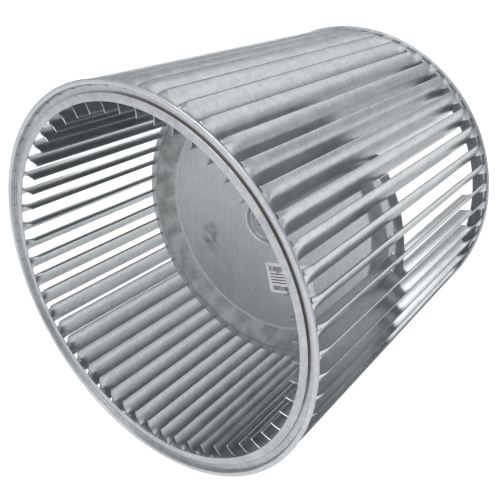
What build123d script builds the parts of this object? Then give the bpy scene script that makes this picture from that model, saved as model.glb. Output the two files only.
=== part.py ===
"""Double-inlet forward-curved blower wheel: 54 sheet blades between two pressed end rings,
threaded through the slotted rim of a dished centre disc with a set-screw hub.

The wheel's axis is Y and the origin is at the middle of its width. The front opening faces -Y, +Z is up.
"""

from build123d import *
import os
from math import cos, degrees, radians, sin

os.makedirs("parts", exist_ok=True)

# ---------------------------------------------------------------- driving dimensions, mm and degrees
WHEEL_R = 134.95          # 10-5/8 in wheel
HALF_WIDTH = 133.35       # 10-1/2 in wide
BLADE_COUNT = 54
FIRST_BLADE_ANGLE = -0.8  # where the first blade's inner edge stands, from +X towards +Z

BLADE_T = 0.6             # sheet of the blades
BLADE_INNER_R = 114.7     # radius that the blades' inner edges lie on
BLADE_CURVE_R = 19.2      # radius the blade is rolled to
BLADE_SWEEP = 76.5        # how far round that radius it runs

RING_T = 0.6              # sheet of the end rings
RING_INNER_R = 122.1
RING_FLANGE_DEPTH = 2.1   # inner flange, behind the lip's front face
RING_GROOVE_R = 126.8     # inner wall of the pressed groove
RING_GROOVE_DEPTH = 3.5
RING_GROOVE_DRAFT = 0.8   # how far the groove's outer wall leans in at its bottom
RING_LIP_R = 131.4        # inner wall of the folded lip
RING_LIP_T = 1.9          # the lip is two folds of sheet round the blade tabs
RING_BEND = 0.3           # inside radius of the pressed bends

DISC_T = 1.5
DISC_FACE_Y = 4.0         # front of the disc's flat middle
DISC_RIM_Y = -4.0         # front of its rim
DISC_RIM_R = 118.8
DISC_RIM_DEPTH = 9.3      # width of the flange round the rim
CONE_INNER_R = 94.5
CONE_OUTER_R = 110.7
SEAT_R = 17.5             # recess that the hub sits in
SEAT_WALL = 2.2           # width of the recess's sloping wall
SEAT_DEPTH = 3.0

BORE_R = 6.36             # for a 1/2 in motor shaft
HUB_R = 14.3
HUB_NECK_R = 11.95        # part of the hub that passes through the disc
HUB_LENGTH = 30.0         # behind the disc
HUB_HEAD_R = 13.6         # swaged over in front of the disc
HUB_HEAD_T = 2.4
HUB_HEAD_CHAMFER = 1.2
HUB_FIT = 0.05            # between the hub's neck and the disc

SCREW_R = 3.9             # 5/16-18 set screw, 3/8 in long
SCREW_LENGTH = 9.5
SCREW_HOLE_R = 3.97
SCREW_FROM_HUB_END = 10.0
SCREW_TIP_BACK = 0.8      # how far the backed-off tip stands out of the bore
SCREW_SOCKET = 3.97       # across the flats of the hexagon socket

LABEL_SIZE = (44.5, 27.0)
LABEL_T = 0.15
LABEL_CENTRE = (26.8, -43.1)   # x and z on the disc's face
LABEL_TILT = 14.0
LABEL_CORNER_R = 2.0

# ---------------------------------------------------------------- blades
BLADE_ANGLES = [FIRST_BLADE_ANGLE + 360 / BLADE_COUNT * i for i in range(BLADE_COUNT)]
CURVE_CENTRE = (BLADE_INNER_R, BLADE_CURVE_R)

TAB_START = 64.0          # the end tab's width, as angles along the blade's curve
TAB_END = 73.0
TAB_DEPTH = 0.9           # tab's end, behind the lip's front face
TIP_NOTCH_DEPTH = 4.3     # the tip's corners are cut back this far
INNER_END_DEPTH = 5.4     # free end of the inner part of the blade
NECK_DEPTH = 6.6          # where the blade clears the back of the ring's groove
INNER_END_WIDTH = 7.2     # along the chord, from the inner edge
NECK_START = 9.5
NECK_END = 16.8
LIP_CLEARANCE = 0.4       # where the tab meets the neck, behind the lip
OUTLINE_MARGIN = 2.0      # how far the cutting outline passes the blade's edges


def along_chord(curve_angle):
    """Distance along the blade's chord, from its inner edge, of a point on its curve."""
    half = BLADE_SWEEP / 2
    return BLADE_CURVE_R * (sin(radians(curve_angle - half)) + sin(radians(half)))


def radial_plane(angle, y=0):
    """Plane square to the wheel's axis, with its x along the radius at that angle, facing the front."""
    return Plane(origin=(0, y, 0), x_dir=(cos(radians(angle)), 0, sin(radians(angle))), z_dir=(0, -1, 0))


def chord_plane(angle):
    """Plane through a blade's inner edge with its x along the blade's chord and its y along the axis."""
    chord = radians(angle + BLADE_SWEEP / 2)
    edge = radians(angle)
    return Plane(
        origin=(BLADE_INNER_R * cos(edge), 0, BLADE_INNER_R * sin(edge)),
        x_dir=(cos(chord), 0, sin(chord)),
        z_dir=(-sin(chord), 0, cos(chord)),
    )


CHORD = along_chord(BLADE_SWEEP)
END_OUTLINE = [
    (-OUTLINE_MARGIN, INNER_END_DEPTH),
    (INNER_END_WIDTH, INNER_END_DEPTH),
    (NECK_START, NECK_DEPTH),
    (NECK_END, NECK_DEPTH),
    (along_chord(TAB_START), RING_LIP_T + LIP_CLEARANCE),
    (along_chord(TAB_START), TAB_DEPTH),
    (along_chord(TAB_END), TAB_DEPTH),
    (along_chord(TAB_END), TIP_NOTCH_DEPTH),
    (CHORD + OUTLINE_MARGIN, TIP_NOTCH_DEPTH),
]
BLADE_OUTLINE = [(c, depth - HALF_WIDTH) for c, depth in END_OUTLINE]
BLADE_OUTLINE += [(c, HALF_WIDTH - depth) for c, depth in reversed(END_OUTLINE)]


def strip_section(plane, start, end, thickness):
    """Section of curved blade sheet on that plane, between two angles along the curve."""
    with BuildSketch(plane) as section:
        with BuildLine():
            back = CenterArc(CURVE_CENTRE, BLADE_CURVE_R + thickness / 2, start - 90, end - start)
            front = CenterArc(CURVE_CENTRE, BLADE_CURVE_R - thickness / 2, start - 90, end - start)
            Line(back @ 0, front @ 0)
            Line(back @ 1, front @ 1)
        make_face()
    return section.sketch


for number, angle in enumerate(BLADE_ANGLES, start=1):
    with BuildPart() as blade:
        extrude(strip_section(radial_plane(angle), 0, BLADE_SWEEP, BLADE_T), amount=HALF_WIDTH, both=True)
        with BuildSketch(chord_plane(angle)):
            with BuildLine():
                Polyline(*BLADE_OUTLINE, close=True)
            make_face()
        extrude(amount=BLADE_CURVE_R / 2, both=True, mode=Mode.INTERSECT)
    blade.part.label = f"blade_{number:02d}"
    export_step(blade.part, f"parts/blade_{number:02d}.step")

# ---------------------------------------------------------------- end rings
SLOT_CLEARANCE = 0.06     # beside, behind and in front of a tab
SLOT_END_CLEARANCE = 0.3
SLOT_OVERRUN = degrees(SLOT_END_CLEARANCE / BLADE_CURVE_R)

GROOVE_BACK = RING_GROOVE_DEPTH + RING_T
GROOVE_OUTER_R = RING_LIP_R - RING_GROOVE_DRAFT
OUTER_BEND = RING_BEND + RING_T
SHEARED_EDGE = 0.2
HEM_ROUND = 0.85

# Each corner of the section as radius and depth behind the lip's front face, with its bend.
RING_SECTION = [
    ((RING_INNER_R, RING_FLANGE_DEPTH), SHEARED_EDGE),
    ((RING_GROOVE_R, RING_FLANGE_DEPTH), OUTER_BEND / 2),
    ((RING_GROOVE_R, RING_GROOVE_DEPTH), RING_BEND),
    ((GROOVE_OUTER_R, RING_GROOVE_DEPTH), RING_BEND),
    ((RING_LIP_R, 0), OUTER_BEND),
    ((WHEEL_R, 0), HEM_ROUND),
    ((WHEEL_R, RING_LIP_T), HEM_ROUND),
    ((RING_LIP_R + RING_T, RING_LIP_T), RING_BEND),
    ((GROOVE_OUTER_R + RING_T, GROOVE_BACK), OUTER_BEND),
    ((RING_GROOVE_R - RING_T, GROOVE_BACK), OUTER_BEND),
    ((RING_GROOVE_R - RING_T, RING_FLANGE_DEPTH + RING_T), RING_BEND),
    ((RING_INNER_R, RING_FLANGE_DEPTH + RING_T), SHEARED_EDGE),
]

with BuildPart() as front_end_ring:
    with BuildSketch(Plane.XY):
        with BuildLine():
            corners = [(r, depth - HALF_WIDTH) for (r, depth), bend in RING_SECTION]
            bends = [bend for corner, bend in RING_SECTION]
            FilletPolyline(*corners, radius=bends, close=True)
        make_face()
    revolve(axis=Axis.Y)
    for angle in BLADE_ANGLES:
        slot = strip_section(
            radial_plane(angle, TAB_DEPTH - SLOT_CLEARANCE - HALF_WIDTH),
            TAB_START - SLOT_OVERRUN,
            TAB_END + SLOT_OVERRUN,
            BLADE_T + 2 * SLOT_CLEARANCE,
        )
        extrude(slot, amount=-RING_LIP_T, mode=Mode.SUBTRACT)
front_end_ring.part.label = "front_end_ring"
export_step(front_end_ring.part, "parts/front_end_ring.step")

with BuildPart() as rear_end_ring:
    mirror(front_end_ring.part, about=Plane.XZ)
rear_end_ring.part.label = "rear_end_ring"
export_step(rear_end_ring.part, "parts/rear_end_ring.step")

# ---------------------------------------------------------------- centre disc
SEAT_Y = DISC_FACE_Y + SEAT_DEPTH
DISC_SLOT_CLEARANCE = 0.1
DISC_SLOT_END = 18.0      # past the rim's outside, as an angle along the blade's curve
RELIEF_R = 1.2            # round end of each slot, at the blade's inner edge
DISC_BENDS = [0.6, 2.0, 4.0, 3.0, 2.5]    # recess bottom, recess top, cone bottom, cone top, rim

with BuildPart() as centre_disc:
    with BuildSketch(Plane.XY):
        with BuildLine():
            FilletPolyline(
                (HUB_NECK_R + HUB_FIT, SEAT_Y),
                (SEAT_R - SEAT_WALL, SEAT_Y),
                (SEAT_R, DISC_FACE_Y),
                (CONE_INNER_R, DISC_FACE_Y),
                (CONE_OUTER_R, DISC_RIM_Y),
                (DISC_RIM_R, DISC_RIM_Y),
                (DISC_RIM_R, DISC_RIM_Y + DISC_RIM_DEPTH),
                radius=DISC_BENDS,
            )
            offset(amount=DISC_T, side=Side.LEFT)
        make_face()
    revolve(axis=Axis.Y)
    for angle in BLADE_ANGLES:
        slot_plane = radial_plane(angle, DISC_RIM_Y + DISC_RIM_DEPTH / 2)
        slot = strip_section(slot_plane, 0, DISC_SLOT_END, BLADE_T + 2 * DISC_SLOT_CLEARANCE)
        extrude(slot, amount=DISC_RIM_DEPTH, both=True, mode=Mode.SUBTRACT)
        with BuildSketch(slot_plane) as relief:
            with Locations((BLADE_INNER_R, 0)):
                Circle(RELIEF_R)
        extrude(amount=DISC_RIM_DEPTH, both=True, mode=Mode.SUBTRACT)
centre_disc.part.label = "centre_disc"
export_step(centre_disc.part, "parts/centre_disc.step")

# ---------------------------------------------------------------- hub
HUB_BACK_Y = SEAT_Y + DISC_T + HUB_LENGTH
HUB_FRONT_Y = SEAT_Y - HUB_HEAD_T
SCREW_Y = HUB_BACK_Y - SCREW_FROM_HUB_END
EDGE_BREAK = 0.6

with BuildPart() as hub:
    with BuildSketch(Plane.XY):
        with BuildLine():
            Polyline(
                (BORE_R + EDGE_BREAK, HUB_FRONT_Y),
                (HUB_HEAD_R - HUB_HEAD_CHAMFER, HUB_FRONT_Y),
                (HUB_HEAD_R, HUB_FRONT_Y + HUB_HEAD_CHAMFER),
                (HUB_HEAD_R, SEAT_Y),
                (HUB_NECK_R, SEAT_Y),
                (HUB_NECK_R, SEAT_Y + DISC_T),
                (HUB_R, SEAT_Y + DISC_T),
                (HUB_R, HUB_BACK_Y - EDGE_BREAK),
                (HUB_R - EDGE_BREAK, HUB_BACK_Y),
                (BORE_R + EDGE_BREAK, HUB_BACK_Y),
                (BORE_R, HUB_BACK_Y - EDGE_BREAK),
                (BORE_R, HUB_FRONT_Y + EDGE_BREAK),
                close=True,
            )
        make_face()
    revolve(axis=Axis.Y)
    with BuildSketch(Plane.XY):
        with Locations((0, SCREW_Y)):
            Circle(SCREW_HOLE_R)
    extrude(amount=2 * HUB_R, mode=Mode.SUBTRACT)
hub.part.label = "hub"
export_step(hub.part, "parts/hub.step")

# ---------------------------------------------------------------- set screw
SCREW_TIP_Z = BORE_R + SCREW_TIP_BACK
SOCKET_DEPTH = 4.0
CUP_R = 2.2               # the cup point, and the angle of its cone to the screw's axis
CUP_ANGLE = 44
POINT_CHAMFER = 1.2
TOP_CHAMFER = 0.5

with BuildPart() as set_screw:
    with BuildSketch(Plane.XY.offset(SCREW_TIP_Z)):
        with Locations((0, SCREW_Y)):
            Circle(SCREW_R)
    extrude(amount=SCREW_LENGTH)
    chamfer(set_screw.edges().group_by(Axis.Z)[0], length=POINT_CHAMFER)
    chamfer(set_screw.edges().group_by(Axis.Z)[-1], length=TOP_CHAMFER)
    with BuildSketch(Plane.XY.offset(SCREW_TIP_Z + SCREW_LENGTH)):
        with Locations((0, SCREW_Y)):
            RegularPolygon(SCREW_SOCKET / 2, side_count=6, major_radius=False)
    extrude(amount=-SOCKET_DEPTH, mode=Mode.SUBTRACT)
    with BuildSketch(Plane.XY.offset(SCREW_TIP_Z)):
        with Locations((0, SCREW_Y)):
            Circle(CUP_R)
    extrude(amount=CUP_R, taper=CUP_ANGLE, mode=Mode.SUBTRACT)
set_screw.part.label = "set_screw"
export_step(set_screw.part, "parts/set_screw.step")

# ---------------------------------------------------------------- label on the disc
label_plane = Plane(
    origin=(LABEL_CENTRE[0], DISC_FACE_Y, LABEL_CENTRE[1]),
    x_dir=(cos(radians(LABEL_TILT)), 0, sin(radians(LABEL_TILT))),
    z_dir=(0, -1, 0),
)
with BuildPart() as disc_label:
    with BuildSketch(label_plane):
        RectangleRounded(*LABEL_SIZE, LABEL_CORNER_R)
    extrude(amount=LABEL_T)
disc_label.part.label = "disc_label"
export_step(disc_label.part, "parts/disc_label.step")
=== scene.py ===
import math
import random

import bmesh
import bpy
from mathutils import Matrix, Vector


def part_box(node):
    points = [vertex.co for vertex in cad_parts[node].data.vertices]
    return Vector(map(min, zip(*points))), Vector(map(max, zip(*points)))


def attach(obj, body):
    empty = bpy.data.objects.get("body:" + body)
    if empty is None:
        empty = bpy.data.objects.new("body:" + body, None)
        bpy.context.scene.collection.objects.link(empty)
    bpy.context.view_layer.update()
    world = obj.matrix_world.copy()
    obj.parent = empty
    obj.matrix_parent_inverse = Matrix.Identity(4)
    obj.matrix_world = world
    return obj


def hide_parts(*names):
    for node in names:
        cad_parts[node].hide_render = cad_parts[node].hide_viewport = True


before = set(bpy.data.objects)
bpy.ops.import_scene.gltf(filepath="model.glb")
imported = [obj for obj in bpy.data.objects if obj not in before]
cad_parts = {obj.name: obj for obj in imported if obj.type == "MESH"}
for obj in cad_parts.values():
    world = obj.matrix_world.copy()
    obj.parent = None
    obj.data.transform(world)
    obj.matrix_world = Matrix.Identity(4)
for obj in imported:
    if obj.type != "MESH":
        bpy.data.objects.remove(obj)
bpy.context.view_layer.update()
MM = 0.001

# ------------------------------------------------------------------------------------------------
# Centre disc: 1.5 mm galvanised sheet, pressed with a recess for the hub, a cone and a rim flange, and
# slotted round the rim for the blades. Its shape comes from the CAD and only its finish is made here.
DISC_FACE_Y = 4.0 * MM
CONE_INNER_R = 94.5 * MM
CONE_OUTER_R = 110.7 * MM
SMUDGE_PLACE = (-56 * MM, 0, -30 * MM)    # an old ink mark on the front of the disc
SMUDGE_SIZE = (13 * MM, 21 * MM)          # across and up
BLOT = 9 * MM


def linear(hex_colour):
    """An sRGB hex colour as linear RGBA."""
    parts = [int(hex_colour[i:i + 2], 16) / 255 for i in (1, 3, 5)]
    return [c / 12.92 if c <= 0.04045 else ((c + 0.055) / 1.055) ** 2.4 for c in parts] + [1.0]


def add(tree, kind, inputs=(), stops=(), **settings):
    """Adds a node with its settings. Each input, by name or in order, is given a value or the socket that
    feeds it; stops are the places and hex colours of a colour ramp."""
    node = tree.nodes.new(kind)
    for name, value in settings.items():
        setattr(node, name, value)
    for name, value in (inputs.items() if isinstance(inputs, dict) else enumerate(inputs)):
        if isinstance(value, bpy.types.NodeSocket):
            tree.links.new(value, node.inputs[name])
        else:
            node.inputs[name].default_value = value
    if stops:
        for element, (position, colour) in zip(node.color_ramp.elements, stops):
            element.position = position
            element.color = linear(colour)
    return node


def new_material(name):
    """An empty node material and its tree."""
    material = bpy.data.materials.new(name)
    material.use_nodes = True
    material.node_tree.nodes.clear()
    return material, material.node_tree


def coat(node, material):
    """Gives a CAD node its finish."""
    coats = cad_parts[node].data.materials
    coats.clear()
    coats.append(material)


def band(tree, value, low, high, soft):
    """1 where the value lies between low and high, falling to 0 over the soft distance outside them."""
    rise = add(tree, "ShaderNodeMapRange", {"Value": value, "From Min": low - soft, "From Max": low},
               interpolation_type="SMOOTHSTEP").outputs["Result"]
    fall = add(tree, "ShaderNodeMapRange", {
        "Value": value, "From Min": high, "From Max": high + soft, "To Min": 1.0, "To Max": 0.0},
        interpolation_type="SMOOTHSTEP").outputs["Result"]
    return add(tree, "ShaderNodeMath", [rise, fall], operation="MULTIPLY").outputs[0]


# Hot-dip galvanised sheet after a skin pass: a grey zinc skin with soft spangles a few millimetres
# across, a fine grain that blurs what it reflects, and faint streaks along the rolling direction.
# Dull patches of zinc oxide, some ten millimetres across, come with storage and handling.
SPANGLE = 2.6 * MM
GRAIN = 0.6 * MM           # real grain is finer; this coarse it still shows
GRAIN_DEPTH = 0.1 * MM
STREAK = 3.0 * MM
STREAK_DEPTH = 0.3 * MM
OXIDE = 14 * MM


def galvanised(name, light, dark, roughness, streak=(1.0, 0.12, 1.0), stains_and_shade=()):
    """Galvanised sheet. streak squeezes the streaks' x, y and z; the last argument lists (mask maker, colour,
    dulling) for real stains and for painted shade laid over the zinc.
    """
    material, tree = new_material(name)
    place = add(tree, "ShaderNodeTexCoord").outputs["Object"]
    spangle = add(tree, "ShaderNodeTexVoronoi", {"Vector": place, "Scale": 1 / SPANGLE}, feature="F1")
    grain = add(tree, "ShaderNodeTexNoise", {
        "Vector": place, "Scale": 1 / GRAIN, "Detail": 3.0, "Roughness": 0.7}).outputs["Fac"]
    stretched = add(tree, "ShaderNodeMapping", {"Vector": place, "Scale": streak}).outputs["Vector"]
    streaks = add(tree, "ShaderNodeTexNoise", {
        "Vector": stretched, "Scale": 1 / STREAK, "Detail": 4.0, "Roughness": 0.6}).outputs["Fac"]
    oxide = add(tree, "ShaderNodeTexNoise", {
        "Vector": place, "Scale": 1 / OXIDE, "Detail": 3.0, "Roughness": 0.5}).outputs["Fac"]
    flake = add(tree, "ShaderNodeSeparateColor", {"Color": spangle.outputs["Color"]}).outputs[0]
    tone = add(tree, "ShaderNodeMath", [flake, 0.10], operation="MULTIPLY").outputs[0]
    for part, weight in ((streaks, 0.28), (oxide, 0.22), (grain, 0.50)):
        tone = add(tree, "ShaderNodeMath", [part, weight, tone], operation="MULTIPLY_ADD").outputs[0]
    colour = add(tree, "ShaderNodeValToRGB", [tone], [(0.40, dark), (0.68, light)]).outputs["Color"]
    rough = add(tree, "ShaderNodeMapRange", {
        "Value": oxide, "From Min": 0.35, "From Max": 0.65,
        "To Min": roughness - 0.02, "To Max": roughness + 0.04}).outputs["Result"]
    for mask_of, stain_and_shade_colour, dulling in stains_and_shade:
        mask = mask_of(tree, place, oxide, grain)
        mix = add(tree, "ShaderNodeMix", {"Factor": mask, 6: colour, 7: linear(stain_and_shade_colour)},
                  data_type="RGBA", blend_type="MIX")
        colour = mix.outputs[2]
        rough = add(tree, "ShaderNodeMath", [mask, dulling, rough], operation="MULTIPLY_ADD").outputs[0]
    bump = add(tree, "ShaderNodeBump", {"Height": grain, "Strength": 0.06, "Distance": GRAIN_DEPTH})
    wave = add(tree, "ShaderNodeBump", {"Height": streaks, "Strength": 0.05, "Distance": STREAK_DEPTH,
                                        "Normal": bump.outputs["Normal"]})
    shader = add(tree, "ShaderNodeBsdfPrincipled", {
        "Base Color": colour, "Metallic": 1.0, "Roughness": rough, "Normal": wave.outputs["Normal"]})
    add(tree, "ShaderNodeOutputMaterial", {"Surface": shader.outputs["BSDF"]})
    return material


def across_axis(tree, place):
    """Distance from the wheel's axis."""
    flat = add(tree, "ShaderNodeVectorMath", [place, (1, 0, 1)], operation="MULTIPLY").outputs[0]
    return add(tree, "ShaderNodeVectorMath", [flat], operation="LENGTH").outputs["Value"]


def cone_painted_shade(tree, place, oxide, grain):
    """Painted shade on the cone: a darker grey in mottled patches, made a little duller."""
    on_cone = band(tree, across_axis(tree, place), CONE_INNER_R + 2 * MM, CONE_OUTER_R, 2 * MM)
    patches = add(tree, "ShaderNodeMapRange", {
        "Value": oxide, "From Min": 0.38, "From Max": 0.62, "To Min": 0.40, "To Max": 0.85}).outputs["Result"]
    return add(tree, "ShaderNodeMath", [on_cone, patches], operation="MULTIPLY").outputs[0]


def ink_smudge(tree, place, oxide, grain):
    """A rubbed ink mark on the front of the disc."""
    offset = add(tree, "ShaderNodeVectorMath", [place, SMUDGE_PLACE], operation="SUBTRACT").outputs[0]
    shape = (1 / SMUDGE_SIZE[0], 0, 1 / SMUDGE_SIZE[1])
    scaled = add(tree, "ShaderNodeVectorMath", [offset, shape], operation="MULTIPLY").outputs[0]
    reach = add(tree, "ShaderNodeVectorMath", [scaled], operation="LENGTH").outputs["Value"]
    inside = band(tree, reach, -1.0, 0.35, 0.6)
    noise = add(tree, "ShaderNodeTexNoise", {
        "Vector": place, "Scale": 1 / BLOT, "Detail": 2.0}).outputs["Fac"]
    blots = add(tree, "ShaderNodeMapRange", {
        "Value": noise, "From Min": 0.40, "From Max": 0.66, "To Max": 0.60}).outputs["Result"]
    x, y, z = add(tree, "ShaderNodeSeparateXYZ", [place]).outputs
    front = band(tree, y, DISC_FACE_Y - 0.2 * MM, DISC_FACE_Y + 0.2 * MM, 0.1 * MM)
    blotted = add(tree, "ShaderNodeMath", [inside, blots], operation="MULTIPLY").outputs[0]
    return add(tree, "ShaderNodeMath", [blotted, front], operation="MULTIPLY").outputs[0]


# The cone's darker grey is painted shade.
disc_zinc = galvanised("galvanised_disc_sheet", "#D2D6D8", "#BABFC1", 0.50, streak=(1.0, 1.0, 0.12),
                       stains_and_shade=[(cone_painted_shade, "#8C8F8F", 0.04), (ink_smudge, "#5E5968", 0.10)])
coat("centre_disc", disc_zinc)

# ------------------------------------------------------------------------------------------------
# Blades: 54 strips of 0.6 mm galvanised steel, rolled to a curve and sheared to length. Each end has
# a neck that flares out to lie along the end ring and is clinched in its folded lip; the tip's corner
# beside the neck is notched away and the inner part of the end is left free.
BLADE_COUNT = sum(name.startswith("blade_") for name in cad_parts)
HALF_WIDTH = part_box("rear_end_ring")[1].y
WHEEL_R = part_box("front_end_ring")[1].x
BLADE_T = 0.6 * MM
BLADE_CURVE_R = 19.2 * MM
BLADE_SWEEP = 76.5         # how far round that radius the blade runs, in degrees
BLADE_INNER_R = 114.7 * MM
FIRST_BLADE_ANGLE = -0.8
TAB_R = 132.9 * MM         # where the tabs lie inside the hem
NECK_R = 131.9 * MM        # where the flared necks behind them lie
JOG_START = 1.9 * MM       # the step between the two, behind the ring's front face
JOG_END = 4.5 * MM
NECK_MIDDLE = 56.0         # middle of the neck, as an angle along the blade's curve
FLARED_PART = (31, 47)     # angles between which the flare takes hold
HELD_PART = (35, 60)       # angles between which the ends begin to hold the blade in its true place
FLARE_START = 2.5 * MM     # behind the ring's front face
FLARE_END = 13 * MM
UNEVEN = 0.18 * MM         # how far a blade may sit from its true place

# Across the blade, as angles along its curve: how far the sheared end stands back from the rim, in mm.
END_SHAPE = [
    (0, 5.3), (24, 5.3), (31, 6.3), (40, 6.3), (41.5, 3.4), (42, 0.9),
    (66, 0.9), (66.6, 5.2), (BLADE_SWEEP, 5.2),
]
ACROSS = [0, 4, 8, 12, 16, 20, 24, 27.5, 31, 34, 37, 40, 41.5, 42, 45, 48, 51, 54, 57, 60, 63,
          66, 66.6, 69, 71.5, 74, BLADE_SWEEP]
END_ROWS = [0, 0.8, 1.5, 2.2, 3, 4, 5.5, 7.5, 10, 13, 17, 22]    # mm from the sheared end
MIDDLE_ROWS = 14


def smoothstep(low, high, x):
    t = min(max((x - low) / (high - low), 0.0), 1.0)
    return t * t * (3 - 2 * t)


def end_depth(curve_angle):
    """How far the sheared end stands back from the rim at that angle along the curve, in metres."""
    for (a0, d0), (a1, d1) in zip(END_SHAPE, END_SHAPE[1:]):
        if curve_angle <= a1:
            return (d0 + (d1 - d0) * (curve_angle - a0) / (a1 - a0)) * MM
    return END_SHAPE[-1][1] * MM


def blade_point(curve_angle, y, side):
    """A point of the sheet: side is +1 on the convex outer face and -1 on the inner one."""
    a = math.radians(curve_angle)
    middle = math.radians(NECK_MIDDLE)
    r = BLADE_CURVE_R + side * BLADE_T / 2
    rolled = Vector((BLADE_INNER_R + r * math.sin(a), BLADE_CURVE_R - r * math.cos(a)))
    along = BLADE_CURVE_R * (1 - math.cos(middle) + a - middle) / NECK_R
    depth = HALF_WIDTH - abs(y)
    level = TAB_R + (NECK_R - TAB_R) * smoothstep(JOG_START, JOG_END, depth)
    flat = Vector((math.cos(along), math.sin(along))) * (level + side * BLADE_T / 2)
    flare = smoothstep(*FLARED_PART, curve_angle) * (1 - smoothstep(FLARE_START, FLARE_END, depth))
    return rolled.lerp(flat, flare)


def blade_mesh(name, angle, chance):
    """Closed mesh of one blade: a grid over its outline for each face, joined round the sheared edge."""
    lean = chance.uniform(-UNEVEN, UNEVEN)
    twist = chance.uniform(-UNEVEN, UNEVEN) / HALF_WIDTH
    turn = math.radians(angle)
    rows = len(END_ROWS) * 2 + MIDDLE_ROWS
    mesh = bmesh.new()
    grids = {}
    for side in (1, -1):
        grid = []
        for curve_angle in ACROSS:
            half = HALF_WIDTH - end_depth(curve_angle)
            inner = half - END_ROWS[-1] * MM
            ys = [-half + row * MM for row in END_ROWS]
            ys += [-inner + 2 * inner * (i + 1) / (MIDDLE_ROWS + 1) for i in range(MIDDLE_ROWS)]
            ys += [half - row * MM for row in reversed(END_ROWS)]
            column = []
            for y in ys:
                u, v = blade_point(curve_angle, y, side)
                free = 1 - smoothstep(*HELD_PART, curve_angle)
                v += (lean + twist * y) * free
                x = u * math.cos(turn) - v * math.sin(turn)
                z = u * math.sin(turn) + v * math.cos(turn)
                column.append(mesh.verts.new((x, y, z)))
            grid.append(column)
        for i in range(len(ACROSS) - 1):
            for j in range(rows - 1):
                corners = [grid[i][j], grid[i + 1][j], grid[i + 1][j + 1], grid[i][j + 1]]
                mesh.faces.new(corners).smooth = True
        grids[side] = grid
    last = len(ACROSS) - 1
    loop = [(i, 0) for i in range(last)] + [(last, j) for j in range(rows - 1)]
    loop += [(i, rows - 1) for i in range(last, 0, -1)] + [(0, j) for j in range(rows - 1, 0, -1)]
    for (i, j), (k, m) in zip(loop, loop[1:] + loop[:1]):
        edge = mesh.faces.new([grids[1][i][j], grids[1][k][m], grids[-1][k][m], grids[-1][i][j]])
        edge.material_index = 1
    bmesh.ops.recalc_face_normals(mesh, faces=mesh.faces)
    return finished(mesh, name)


def finished(mesh, name):
    """The bmesh as a mesh, freed."""
    data = bpy.data.meshes.new(name)
    mesh.to_mesh(data)
    mesh.free()
    return data


def piece_of(data, body, slot, *nodes):
    """Puts a mesh in the scene as a piece on that body, in place of the CAD nodes."""
    piece = bpy.data.objects.new(data.name, data)
    bpy.context.collection.objects.link(piece)
    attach(piece, body)
    if nodes:
        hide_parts(*nodes)
    return piece


blade_zinc = galvanised("galvanised_blade_sheet", "#DADDDE", "#B4B8BA", 0.30)

# Sheared edge: the shear leaves bare steel with fine marks across it, smeared over with zinc.
SHEAR_MARK = 0.8 * MM
sheared, tree = new_material("sheared_steel_edge")
place = add(tree, "ShaderNodeTexCoord").outputs["Object"]
marks = add(tree, "ShaderNodeTexNoise", {"Vector": place, "Scale": 1 / SHEAR_MARK, "Detail": 2.0})
colour = add(tree, "ShaderNodeValToRGB", [marks.outputs["Fac"]],
             [(0.35, "#75797A"), (0.65, "#9DA1A2")]).outputs["Color"]
shader = add(tree, "ShaderNodeBsdfPrincipled", {"Base Color": colour, "Metallic": 1.0, "Roughness": 0.5})
add(tree, "ShaderNodeOutputMaterial", {"Surface": shader.outputs["BSDF"]})

chance = random.Random(BLADE_COUNT)
for index in range(BLADE_COUNT):
    node = f"blade_{index + 1:02d}"
    data = blade_mesh(node + "_sheet", FIRST_BLADE_ANGLE + 360 / BLADE_COUNT * index, chance)
    data.materials.append(blade_zinc)
    data.materials.append(sheared)
    piece_of(data, "wheel", "galvanised_sheet", node)

# ------------------------------------------------------------------------------------------------
# End rings: 0.6 mm galvanised sheet, pressed with an inner flange and a groove, and folded over at the
# rim into a hem that grips the blades' tabs. The clinching rolls leave the hem dented at each tab.
RING_T = 0.6 * MM
RING_OUTER_R = WHEEL_R - 0.03 * MM
RING_INNER_R = 122.1 * MM
RING_FLANGE_DEPTH = 2.1 * MM
RING_GROOVE_R = 127.2 * MM
RING_GROOVE_DEPTH = 3.5 * MM
RING_GROOVE_DRAFT = 0.8 * MM
RING_LIP_R = 131.9 * MM
RING_LIP_T = 1.9 * MM
RING_GAP = 0.12 * MM       # dark line where the hem's cut edge meets the wall behind it
CUT_EDGE_DEPTH = 0.9 * MM  # how far that line runs in
HEM_ROUND = 0.9 * MM
DENT = 0.22 * MM
DENT_FROM = (1.6, 2.9)     # degrees from the tab's middle between which the dent takes hold
GROOVE_SHADE_BAND = (-0.1 * MM, 0.8 * MM)    # where the painted shade lies, from the groove's inner wall
SEGMENTS_PER_BLADE = 10
FILLET_STEPS = 4


def rounded(corners):
    """Closed outline through the corners, each rounded to its own radius."""
    points = []
    for (before, _), (corner, radius), (after, _) in zip(corners[-1:] + corners[:-1], corners,
                                                         corners[1:] + corners[:1]):
        here = Vector(corner)
        back = (Vector(before) - here).normalized()
        on = (Vector(after) - here).normalized()
        half = back.angle(on) / 2
        centre = here + (back + on).normalized() * radius / math.sin(half)
        start = here + back * radius / math.tan(half) - centre
        end = here + on * radius / math.tan(half) - centre
        sweep = start.angle(end)
        for i in range(FILLET_STEPS + 1):
            t = i / FILLET_STEPS
            points.append(centre + (start * math.sin((1 - t) * sweep) + end * math.sin(t * sweep))
                          / math.sin(sweep))
    return points


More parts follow.
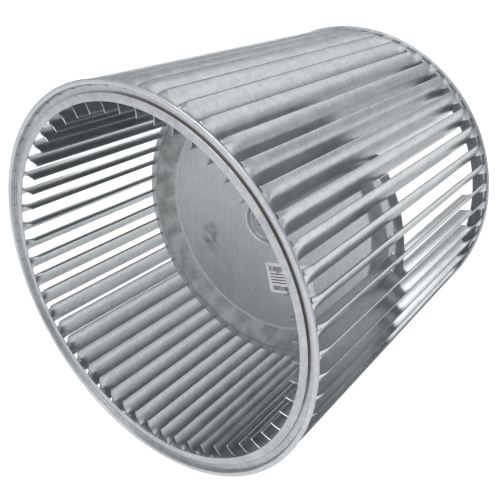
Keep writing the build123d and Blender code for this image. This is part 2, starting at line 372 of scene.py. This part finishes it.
def revolved(name, outline, segments, shape=None):
    """Closed ring: the outline of (radius, y) points turned round the wheel's axis."""
    mesh = bmesh.new()
    rings = []
    for i in range(segments):
        angle = 2 * math.pi * i / segments
        column = []
        for r, y in outline:
            if shape:
                r, y = shape(r, y, angle)
            column.append(mesh.verts.new((r * math.cos(angle), y, r * math.sin(angle))))
        rings.append(column)
    for one, two in zip(rings, rings[1:] + rings[:1]):
        for j in range(len(outline)):
            k = (j + 1) % len(outline)
            mesh.faces.new([one[j], one[k], two[k], two[j]]).smooth = True
    bmesh.ops.recalc_face_normals(mesh, faces=mesh.faces)
    return finished(mesh, name)


groove_back = RING_GROOVE_DEPTH + RING_T
groove_outer = RING_LIP_R - RING_GROOVE_DRAFT
hem_wall = RING_LIP_R + RING_T
RING_SECTION = [
    ((RING_INNER_R, RING_FLANGE_DEPTH), 0.2 * MM),
    ((RING_GROOVE_R, RING_FLANGE_DEPTH), 0.5 * MM),
    ((RING_GROOVE_R, RING_GROOVE_DEPTH), 0.3 * MM),
    ((groove_outer, RING_GROOVE_DEPTH), 0.4 * MM),
    ((RING_LIP_R, 0), 0.8 * MM),
    ((RING_OUTER_R, 0), HEM_ROUND),
    ((RING_OUTER_R, RING_LIP_T), HEM_ROUND),
    ((hem_wall + RING_GAP, RING_LIP_T), 0.15 * MM),
    ((hem_wall + RING_GAP, RING_LIP_T - CUT_EDGE_DEPTH), 0.05 * MM),
    ((hem_wall, RING_LIP_T - CUT_EDGE_DEPTH), 0.05 * MM),
    ((groove_outer + RING_T, groove_back), 0.8 * MM),
    ((RING_GROOVE_R - RING_T, groove_back), 0.8 * MM),
    ((RING_GROOVE_R - RING_T, RING_FLANGE_DEPTH + RING_T), 0.3 * MM),
    ((RING_INNER_R, RING_FLANGE_DEPTH + RING_T), 0.2 * MM),
]
# The side towards which the groove's painted shade grows darkest.
SHADED_SIDE = (math.cos(math.radians(42)), 0, math.sin(math.radians(42)))
NECK_TURN = math.degrees(BLADE_CURVE_R * (1 - math.cos(math.radians(NECK_MIDDLE))) / NECK_R)


def clinched(r, y, angle):
    """Dents the outside of the hem beside each tab, where it is squeezed in behind the front edge."""
    pitch = 360 / BLADE_COUNT
    from_tab = (math.degrees(angle) - FIRST_BLADE_ANGLE - NECK_TURN + pitch / 2) % pitch - pitch / 2
    between = smoothstep(*DENT_FROM, abs(from_tab))
    outside = smoothstep(WHEEL_R - 1.2 * MM, WHEEL_R - 0.2 * MM, r)
    behind = smoothstep(0.5 * MM, RING_LIP_T, HALF_WIDTH - abs(y))
    return r - DENT * between * outside * behind, y


def rim_depth(tree, place):
    """How far behind the nearer ring's front face."""
    x, y, z = add(tree, "ShaderNodeSeparateXYZ", [place]).outputs
    from_middle = add(tree, "ShaderNodeMath", [y], operation="ABSOLUTE").outputs[0]
    return add(tree, "ShaderNodeMath", [HALF_WIDTH, from_middle], operation="SUBTRACT").outputs[0]


def groove_painted_shade(tree, place, oxide, grain):
    """Painted shade: the groove's inner corner painted dark brown, darkest towards the side 42 degrees up
    from the x axis, where the groove lies in shade.
    """
    deep = band(tree, rim_depth(tree, place), RING_FLANGE_DEPTH + 0.5 * MM, RING_GROOVE_DEPTH, 0.2 * MM)
    inside = band(tree, across_axis(tree, place), RING_GROOVE_R + GROOVE_SHADE_BAND[0],
                  RING_GROOVE_R + GROOVE_SHADE_BAND[1], 0.7 * MM)
    towards = add(tree, "ShaderNodeVectorMath", [place, SHADED_SIDE], operation="DOT_PRODUCT").outputs["Value"]
    shaded_side = add(tree, "ShaderNodeMapRange", {
        "Value": towards, "From Min": 0.45 * RING_GROOVE_R, "From Max": 0.85 * RING_GROOVE_R,
        "To Min": 0.08, "To Max": 0.85}, interpolation_type="SMOOTHSTEP").outputs["Result"]
    corner_shade = add(tree, "ShaderNodeMath", [deep, inside], operation="MULTIPLY").outputs[0]
    return add(tree, "ShaderNodeMath", [corner_shade, shaded_side], operation="MULTIPLY").outputs[0]


def rubbed_crest(tree, place, oxide, grain):
    """The front of the hem, rubbed bright by handling."""
    crest = band(tree, rim_depth(tree, place), -1 * MM, 0.1 * MM, 0.35 * MM)
    rubs = add(tree, "ShaderNodeMath", [grain, 0.8], operation="MULTIPLY").outputs[0]
    return add(tree, "ShaderNodeMath", [crest, rubs], operation="MULTIPLY").outputs[0]


# The groove's dark brown film is painted shade.
ring_zinc = galvanised("galvanised_ring_sheet", "#C3C5C7", "#A0A3A6", 0.46, streak=(0.2, 1.0, 0.2),
                       stains_and_shade=[(groove_painted_shade, "#5A5047", 0.15), (rubbed_crest, "#C9CDD0", -0.03)])
for node, end in (("front_end_ring", -1), ("rear_end_ring", 1)):
    outline = [(r, end * (HALF_WIDTH - depth)) for r, depth in rounded(RING_SECTION)]
    data = revolved(node + "_pressing", outline, BLADE_COUNT * SEGMENTS_PER_BLADE, clinched)
    data.materials.append(ring_zinc)
    piece_of(data, "wheel", "galvanised_ring", node)

# ------------------------------------------------------------------------------------------------
# Hub: free-cutting steel bar, turned and bored, then swaged over in front of the disc. The tool leaves
# fine rings round it, and a thin film of oil keeps the bare steel a darker grey than the zinc.
TURNING_PITCH = 0.35 * MM
TURNING_DEPTH = 0.02 * MM
OIL_PATCH = 9 * MM
turned, tree = new_material("turned_steel")
place = add(tree, "ShaderNodeTexCoord").outputs["Object"]
x, y, z = add(tree, "ShaderNodeSeparateXYZ", [place]).outputs
feed = add(tree, "ShaderNodeMath", [y, across_axis(tree, place)], operation="ADD").outputs[0]
turns = add(tree, "ShaderNodeMath", [feed, 2 * math.pi / TURNING_PITCH], operation="MULTIPLY").outputs[0]
rings = add(tree, "ShaderNodeMath", [turns], operation="SINE").outputs[0]
oil = add(tree, "ShaderNodeTexNoise", {"Vector": place, "Scale": 1 / OIL_PATCH, "Detail": 4.0}).outputs["Fac"]
colour = add(tree, "ShaderNodeValToRGB", [oil], [(0.35, "#8F9294"), (0.65, "#B3B6B7")]).outputs["Color"]
rough = add(tree, "ShaderNodeMapRange", {"Value": oil, "To Min": 0.40, "To Max": 0.24}).outputs["Result"]
bump = add(tree, "ShaderNodeBump", {"Height": rings, "Strength": 0.25, "Distance": TURNING_DEPTH})
shader = add(tree, "ShaderNodeBsdfPrincipled", {
    "Base Color": colour, "Metallic": 1.0, "Roughness": rough, "Normal": bump.outputs["Normal"]})
add(tree, "ShaderNodeOutputMaterial", {"Surface": shader.outputs["BSDF"]})
coat("hub", turned)

# ------------------------------------------------------------------------------------------------
# Set screw: alloy steel, 5/16-18 with a hexagon socket and a cup point, rolled thread, heat treated and
# blacked with a hot oxide bath. It runs in the hub's cross hole and bears on the motor's shaft.
SCREW_LOW, SCREW_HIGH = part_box("set_screw")
SCREW_CENTRE = (SCREW_LOW + SCREW_HIGH) / 2
SCREW_R = (SCREW_HIGH.x - SCREW_LOW.x) / 2
THREAD_PITCH = 25.4 / 18 * MM
THREAD_DEPTH = 0.75 * MM
SCREW_SIDES = 72
SOCKET_HALF = 3.97 / 2 * MM
SOCKET_DEPTH = 4.0 * MM
SOCKET_LEAD = 0.15 * MM    # broken edge at the socket's mouth
DRILL_POINT_R = 0.2 * MM   # the drilled point below the socket, and how far it goes on
DRILL_POINT_DEPTH = 0.6 * MM
CUP_R = 2.2 * MM
CUP_BOTTOM_R = 0.15 * MM
CUP_RIM = 0.25 * MM        # flat rim that bites the shaft
POINT_R = CUP_R + 0.3 * MM
SCREW_CHAMFER = 0.7 * MM
CHAMFER_SLOPE = 1.1
ROWS_PER_PITCH = 14
SHARP_EDGE = math.radians(35)
WEAR_PATCH = 1.2 * MM


def thread_depth(height, turn):
    """How deep the rolled thread is at that height and turn, with a flat crest."""
    t = (height / THREAD_PITCH - turn) % 1.0
    return THREAD_DEPTH * smoothstep(0.12, 0.5, min(t, 1 - t) + 0.06)


def screw_mesh(name):
    """Closed mesh of the screw, as loops from the bottom of its cup, up the thread and down its socket."""
    length = SCREW_HIGH.z - SCREW_LOW.z
    rows = round(length / THREAD_PITCH * ROWS_PER_PITCH)
    mesh = bmesh.new()
    loops = []

    def loop(radius_at, height):
        loops.append([mesh.verts.new((SCREW_CENTRE.x + radius_at(a) * math.cos(a),
                                      SCREW_CENTRE.y + radius_at(a) * math.sin(a), SCREW_LOW.z + height))
                      for a in (2 * math.pi * i / SCREW_SIDES for i in range(SCREW_SIDES))])

    def hexagon(a):
        return SOCKET_HALF / math.cos((a + math.pi / 6) % (math.pi / 3) - math.pi / 6)

    loop(lambda a: CUP_BOTTOM_R, CUP_R - CUP_BOTTOM_R)
    loop(lambda a: CUP_R * 0.6, CUP_R * 0.4)
    loop(lambda a: CUP_R, 0)
    loop(lambda a: CUP_R + CUP_RIM, 0)
    for i in range(rows + 1):
        height = length * i / rows
        end = min(height, length - height)
        limit = SCREW_R - max(0.0, SCREW_CHAMFER - end) * CHAMFER_SLOPE

        def crest(a, height=height, limit=limit):
            return max(min(SCREW_R - thread_depth(height, a / (2 * math.pi)), limit), POINT_R)
        loop(crest, height)
    loop(lambda a: hexagon(a) + SOCKET_LEAD, length)
    loop(hexagon, length - SOCKET_LEAD)
    loop(hexagon, length - SOCKET_DEPTH)
    loop(lambda a: DRILL_POINT_R, length - SOCKET_DEPTH - DRILL_POINT_DEPTH)
    for one, two in zip(loops, loops[1:]):
        for i in range(SCREW_SIDES):
            k = (i + 1) % SCREW_SIDES
            mesh.faces.new([one[i], one[k], two[k], two[i]])
    mesh.faces.new(loops[0])
    mesh.faces.new(loops[-1])
    bmesh.ops.recalc_face_normals(mesh, faces=mesh.faces)
    for face in mesh.faces:
        face.smooth = True
    for edge in mesh.edges:
        if len(edge.link_faces) == 2 and edge.calc_face_angle() > SHARP_EDGE:
            edge.smooth = False
    return finished(mesh, name)


black_oxide, tree = new_material("black_oxide_steel")
place = add(tree, "ShaderNodeTexCoord").outputs["Object"]
wear = add(tree, "ShaderNodeTexNoise", {"Vector": place, "Scale": 1 / WEAR_PATCH, "Detail": 4.0,
                                        "Roughness": 0.6}).outputs["Fac"]
colour = add(tree, "ShaderNodeValToRGB", [wear], [(0.40, "#1E1F21"), (0.72, "#4A4B4D")]).outputs["Color"]
rough = add(tree, "ShaderNodeMapRange", {"Value": wear, "To Min": 0.48, "To Max": 0.28}).outputs["Result"]
shader = add(tree, "ShaderNodeBsdfPrincipled", {"Base Color": colour, "Metallic": 1.0, "Roughness": rough})
add(tree, "ShaderNodeOutputMaterial", {"Surface": shader.outputs["BSDF"]})
data = screw_mesh("set_screw_thread")
data.materials.append(black_oxide)
piece_of(data, "set_screw", "black_steel", "set_screw")

# ------------------------------------------------------------------------------------------------
# Label: white matt paper with an adhesive back, stuck on the front of the disc. It is printed in black
# with plain blocks of bars and grey rules only, and it has yellowed a little in patches.
LABEL_CENTRE = (26.8 * MM, -43.1 * MM)
LABEL_TILT = math.radians(14)
LABEL_FACE_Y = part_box("disc_label")[0].y
INK_T = 0.02 * MM
BAR_BLOCKS = [(10.5, 6.0, -19, 9), (-7.0, -11.0, -19, 17)]    # top, bottom, from x, to x in mm
BAR_WIDTHS = (0.35, 0.35, 0.7, 1.0)
BAR_GAPS = (0.35, 0.35, 0.7)
RULES = [(3.6, -19, 15), (1.0, -19, 8), (-1.6, -19, 17), (-4.2, -19, 3)]    # z, from x, to x in mm
RULE_HALF = 0.45 * MM
INK_SPECK = 0.4 * MM
FIBRE = 0.7 * MM
YELLOWING = 12 * MM


def ink_box(mesh, x0, x1, z0, z1):
    """A thin printed bar on the label, given in the label's own x and z."""
    corners = []
    for y in (LABEL_FACE_Y - INK_T, LABEL_FACE_Y):
        for x, z in ((x0, z0), (x1, z0), (x1, z1), (x0, z1)):
            turned_x = x * math.cos(LABEL_TILT) - z * math.sin(LABEL_TILT)
            turned_z = x * math.sin(LABEL_TILT) + z * math.cos(LABEL_TILT)
            corners.append(mesh.verts.new((LABEL_CENTRE[0] + turned_x, y, LABEL_CENTRE[1] + turned_z)))
    for a, b, c, d in ((0, 1, 2, 3), (4, 7, 6, 5), (0, 4, 5, 1), (1, 5, 6, 2), (2, 6, 7, 3), (3, 7, 4, 0)):
        mesh.faces.new([corners[i] for i in (a, b, c, d)])


mesh = bmesh.new()
for top, bottom, start, end in BAR_BLOCKS:
    x = start * MM
    while x < end * MM:
        width = chance.choice(BAR_WIDTHS) * MM
        ink_box(mesh, x, x + width, bottom * MM, top * MM)
        x += width + chance.choice(BAR_GAPS) * MM
for z, start, end in RULES:
    ink_box(mesh, start * MM, end * MM, z * MM - RULE_HALF, z * MM + RULE_HALF)
bmesh.ops.recalc_face_normals(mesh, faces=mesh.faces)
data = finished(mesh, "label_print")

ink, tree = new_material("black_label_ink")
place = add(tree, "ShaderNodeTexCoord").outputs["Object"]
speck = add(tree, "ShaderNodeTexNoise", {"Vector": place, "Scale": 1 / INK_SPECK, "Detail": 2.0})
colour = add(tree, "ShaderNodeValToRGB", [speck.outputs["Fac"]],
             [(0.35, "#2B2A2C"), (0.70, "#4A494C")]).outputs["Color"]
shader = add(tree, "ShaderNodeBsdfPrincipled", {"Base Color": colour, "Roughness": 0.55})
add(tree, "ShaderNodeOutputMaterial", {"Surface": shader.outputs["BSDF"]})
data.materials.append(ink)
piece_of(data, "wheel", "label_paper")

paper, tree = new_material("white_label_paper")
place = add(tree, "ShaderNodeTexCoord").outputs["Object"]
fibre = add(tree, "ShaderNodeTexNoise", {
    "Vector": place, "Scale": 1 / FIBRE, "Detail": 3.0}).outputs["Fac"]
age = add(tree, "ShaderNodeTexNoise", {"Vector": place, "Scale": 1 / YELLOWING, "Detail": 2.0}).outputs["Fac"]
yellowed = add(tree, "ShaderNodeMath", [age, 0.65], operation="MULTIPLY").outputs[0]
tone = add(tree, "ShaderNodeMath", [fibre, 0.35, yellowed], operation="MULTIPLY_ADD").outputs[0]
colour = add(tree, "ShaderNodeValToRGB", [tone], [(0.35, "#D6D5D4"), (0.62, "#EAEAEC")]).outputs["Color"]
bump = add(tree, "ShaderNodeBump", {"Height": fibre, "Strength": 0.1, "Distance": 0.05 * MM})
shader = add(tree, "ShaderNodeBsdfPrincipled", {
    "Base Color": colour, "Roughness": 0.62, "Normal": bump.outputs["Normal"]})
add(tree, "ShaderNodeOutputMaterial", {"Surface": shader.outputs["BSDF"]})
coat("disc_label", paper)

# ------------------------------------------------------------------------------------------------
# Studio: a white floor and surround that light the zinc from below and all round, with one large softbox
# in front and two behind. The wheel stands on the rims of its two end rings.
FLOOR_HALF = 6.0
FLOOR_GAP = 0.2 * MM
CAMERA_PLACE = (1.8889, -2.5900, 1.5113)    # in wheel radii
CAMERA_BACK = (0.5357, -0.7052, 0.4646)     # the way the camera's back faces
floor_mesh = bpy.data.meshes.new("floor")
floor_mesh.from_pydata([(-FLOOR_HALF, -FLOOR_HALF, 0), (FLOOR_HALF, -FLOOR_HALF, 0),
                        (FLOOR_HALF, FLOOR_HALF, 0), (-FLOOR_HALF, FLOOR_HALF, 0)], [], [(0, 1, 2, 3)])
floor = bpy.data.objects.new("floor", floor_mesh)
floor.location.z = -WHEEL_R - FLOOR_GAP
bpy.context.collection.objects.link(floor)
floor_paint, tree = new_material("white_floor")
shader = add(tree, "ShaderNodeBsdfPrincipled", {
    "Base Color": linear("#A0A0A0"), "Roughness": 0.9,
    "Emission Color": (1, 1, 1, 1), "Emission Strength": 0.87})
add(tree, "ShaderNodeOutputMaterial", {"Surface": shader.outputs["BSDF"]})
floor_mesh.materials.append(floor_paint)

world = bpy.data.worlds.new("studio")
bpy.context.scene.world = world
world.use_nodes = True
tree = world.node_tree
tree.nodes.clear()
seen = add(tree, "ShaderNodeLightPath").outputs["Is Camera Ray"]
backdrop = add(tree, "ShaderNodeBackground", {"Color": (1, 1, 1, 1), "Strength": 1.05})
around = add(tree, "ShaderNodeBackground", {"Color": linear("#F4F7FA"), "Strength": 0.55})
mixed = add(tree, "ShaderNodeMixShader", {"Fac": seen, 1: around.outputs[0], 2: backdrop.outputs[0]})
add(tree, "ShaderNodeOutputWorld", {"Surface": mixed.outputs[0]})


def softbox(name, place, size, power):
    """A square softbox aimed at the wheel."""
    light = bpy.data.lights.new(name, "AREA")
    light.size = size
    light.energy = power
    lamp = bpy.data.objects.new(name, light)
    lamp.location = place
    lamp.rotation_euler = (-Vector(place)).to_track_quat("-Z", "Y").to_euler()
    bpy.context.collection.objects.link(lamp)


softbox("front_softbox", (0, -0.92, 0.92), 0.8, 9)
softbox("rear_right_softbox", (0.5, 0.9, 0.95), 1.1, 2)
softbox("rear_left_softbox", (-0.92, 0.92, 0.15), 0.8, 3)

camera_data = bpy.data.cameras.new("camera")
camera = bpy.data.objects.new("camera", camera_data)
bpy.context.collection.objects.link(camera)
camera.location = Vector(CAMERA_PLACE) * WHEEL_R
camera.rotation_euler = Vector(CAMERA_BACK).to_track_quat("Z", "Y").to_euler()
camera_data.lens = 43.32
camera_data.sensor_width = 36
bpy.context.scene.camera = camera
bpy.context.scene.view_settings.view_transform = "Standard"
